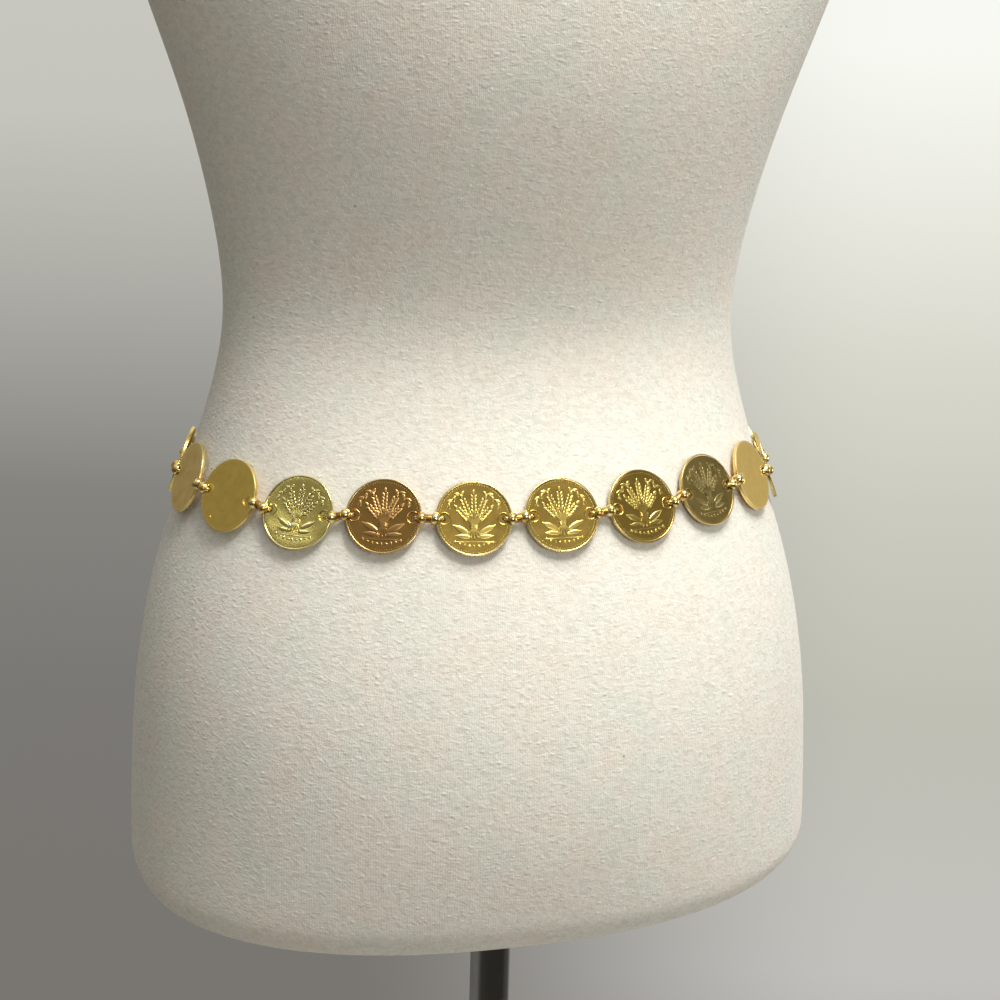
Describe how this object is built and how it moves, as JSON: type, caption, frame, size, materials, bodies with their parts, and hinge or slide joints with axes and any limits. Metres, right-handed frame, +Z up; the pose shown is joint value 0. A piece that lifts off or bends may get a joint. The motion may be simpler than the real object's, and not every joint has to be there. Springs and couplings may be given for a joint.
{
  "type": "coin chain belt on a dress form",
  "caption": "Belt of round gold-plated coins joined by small metal links, closed by a hook, resting on the hips of a limbless dress form with a chrome pole and a round base.",
  "frame": {"origin": "middle of the base's underside, on the floor, on the pole's axis", "axes": "+Z up along the pole; -Y is the form's back, the side that the picture shows; +X is to the viewer's right from there"},
  "size_m": [0.353, 0.3, 1.51],
  "materials": {
    "coin_gold": "gold plated, polished relief on one face and satin on the other",
    "link_gold": "gold plated, polished, slightly darker than the coins",
    "jersey": "ivory cotton jersey, matte and slightly pilled",
    "chrome": "polished chrome plate"
  },
  "bodies": {
    "stand": {"base": "chrome", "pole": "chrome"},
    "dressed_form": {"form": "jersey", "coin_01": "coin_gold", "coin_02": "coin_gold", "coin_03": "coin_gold", "coin_04": "coin_gold", "coin_05": "coin_gold", "coin_06": "coin_gold", "coin_07": "coin_gold", "coin_08": "coin_gold", "coin_09": "coin_gold", "coin_10": "coin_gold", "coin_11": "coin_gold", "coin_12": "coin_gold", "coin_13": "coin_gold", "coin_14": "coin_gold", "coin_15": "coin_gold", "coin_16": "coin_gold", "coin_17": "coin_gold", "coin_18": "coin_gold", "coin_19": "coin_gold", "coin_20": "coin_gold", "link_01": "link_gold", "link_02": "link_gold", "link_03": "link_gold", "link_04": "link_gold", "link_05": "link_gold", "link_06": "link_gold", "link_07": "link_gold", "link_08": "link_gold", "link_09": "link_gold", "link_10": "link_gold", "link_11": "link_gold", "link_12": "link_gold", "link_13": "link_gold", "link_14": "link_gold", "link_15": "link_gold", "link_16": "link_gold", "link_17": "link_gold", "link_18": "link_gold", "link_19": "link_gold", "hook_clasp": "link_gold"}
  },
  "joints": [
    {"name": "form_turn", "type": "hinge", "parent": "stand", "child": "dressed_form", "pos_m": [0, 0, 0.9], "axis": [0, 0, 1], "continuous": true}
  ]
}
